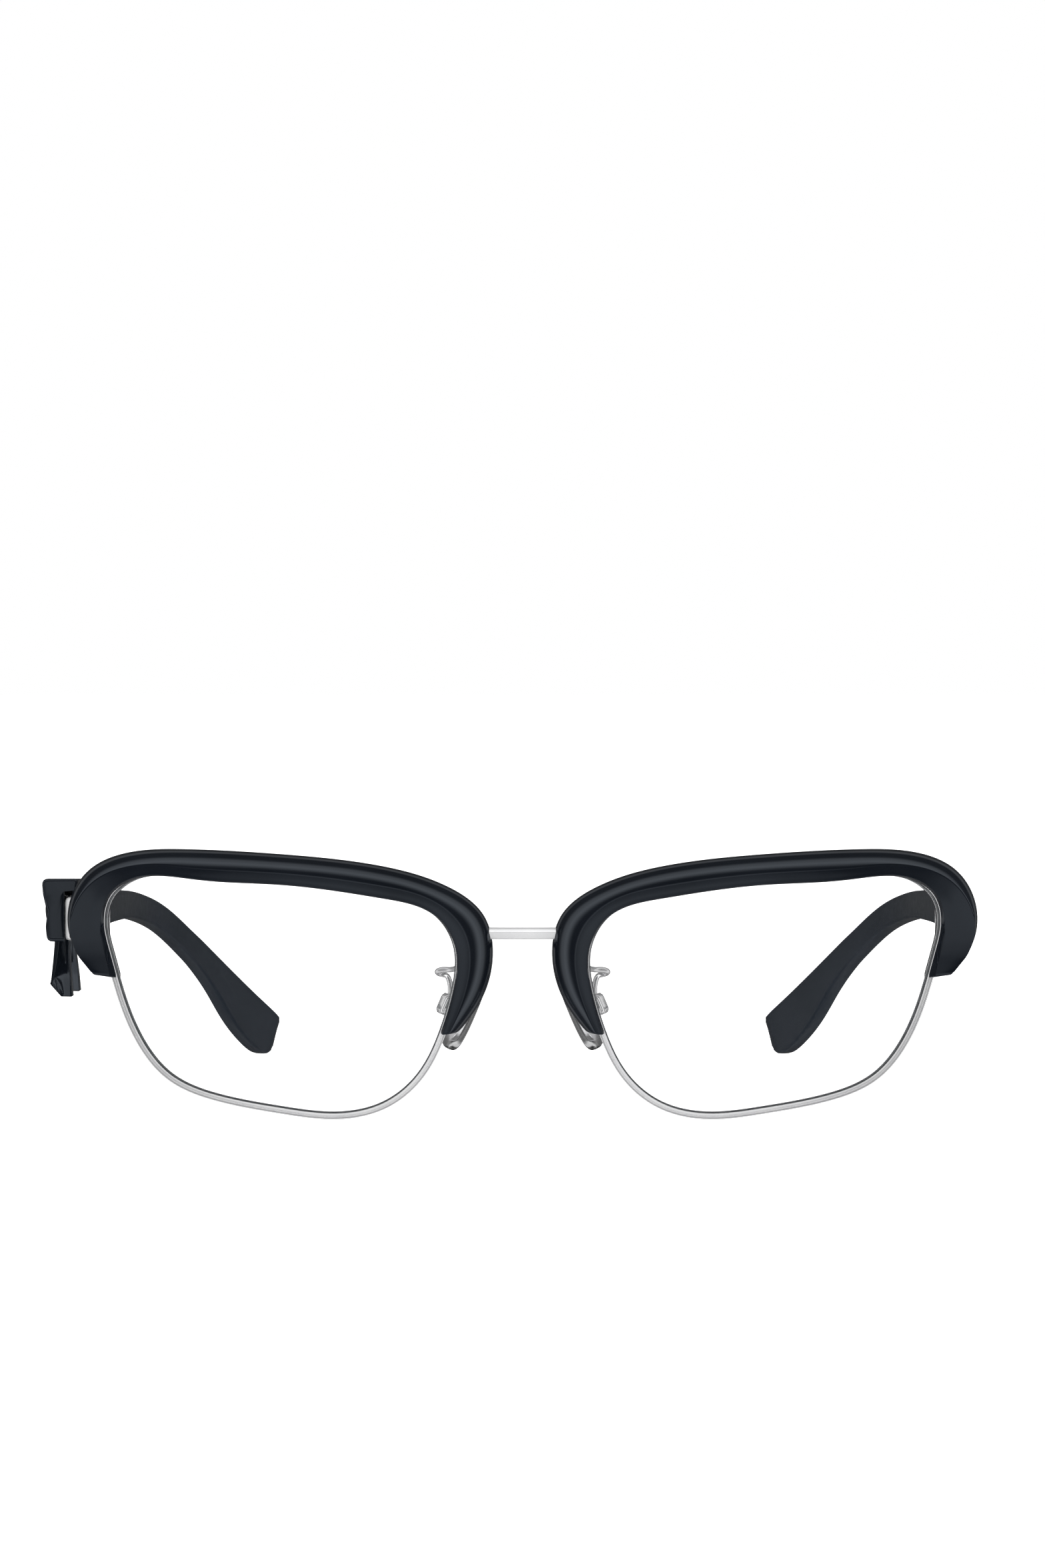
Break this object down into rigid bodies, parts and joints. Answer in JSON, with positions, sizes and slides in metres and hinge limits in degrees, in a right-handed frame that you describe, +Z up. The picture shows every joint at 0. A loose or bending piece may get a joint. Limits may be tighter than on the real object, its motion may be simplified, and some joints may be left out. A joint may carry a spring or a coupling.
{
  "type": "half rim eyeglasses",
  "caption": "Half rim eyeglasses with glossy dark brows over thin metal eyewires, clear lenses, folding temples and a bow on one temple.",
  "frame": {"origin": "on the plane the glasses stand on, under the middle of the bridge, level with the middle of the lenses", "axes": "+X to the wearer's left, +Y back along the temples, +Z up"},
  "size_m": [0.151, 0.1463, 0.0429],
  "materials": {
    "black_acetate": "polished",
    "polished_metal": "polished",
    "screw_steel": "brushed",
    "clear_lens": "clear",
    "clear_pad": "clear, soft"
  },
  "bodies": {
    "front": {"brow_left": "black_acetate", "brow_right": "black_acetate", "rim_left": "polished_metal", "rim_right": "polished_metal", "lens_left": "clear_lens", "lens_right": "clear_lens", "bridge": "polished_metal", "endpiece_left": "polished_metal", "endpiece_right": "polished_metal", "rim_lock_left": "polished_metal", "rim_lock_right": "polished_metal", "rim_lock_screw_left": "screw_steel", "rim_lock_screw_right": "screw_steel", "hinge_screw_left": "screw_steel", "hinge_screw_right": "screw_steel", "brow_screws_left": "screw_steel", "brow_screws_right": "screw_steel", "pad_arm_left": "polished_metal", "pad_arm_right": "polished_metal", "pad_box_left": "polished_metal", "pad_box_right": "polished_metal", "pad_screw_left": "screw_steel", "pad_screw_right": "screw_steel"},
    "temple_left": {"temple_left": "black_acetate", "temple_hinge_left": "polished_metal", "temple_rivets_left": "screw_steel"},
    "temple_right": {"temple_right": "black_acetate", "temple_hinge_right": "polished_metal", "temple_rivets_right": "screw_steel", "bow_clip": "polished_metal", "bow_loop_front": "black_acetate", "bow_loop_rear": "black_acetate", "bow_knot": "black_acetate", "bow_tail_front": "black_acetate", "bow_tail_rear": "black_acetate", "bow_screws": "screw_steel"},
    "nose_pad_left": {"nose_pad_left": "clear_pad"},
    "nose_pad_right": {"nose_pad_right": "clear_pad"}
  },
  "joints": [
    {"name": "temple_left_fold", "type": "hinge", "parent": "front", "child": "temple_left", "pos_m": [0.0672, 0.0116, 0.031], "axis": [0, 0, 1], "range_deg": [0, 83]},
    {"name": "temple_right_fold", "type": "hinge", "parent": "front", "child": "temple_right", "pos_m": [-0.0672, 0.0116, 0.031], "axis": [0, 0, -1], "range_deg": [0, 77]},
    {"name": "nose_pad_left_rock", "type": "hinge", "parent": "front", "child": "nose_pad_left", "pos_m": [0.01202, 0.00987, 0.01754], "axis": [0.4308, 0.8885, 0.1579], "range_deg": [-10, 10]},
    {"name": "nose_pad_right_rock", "type": "hinge", "parent": "front", "child": "nose_pad_right", "pos_m": [-0.01202, 0.00987, 0.01754], "axis": [-0.4308, 0.8885, 0.1579], "range_deg": [-10, 10]}
  ]
}
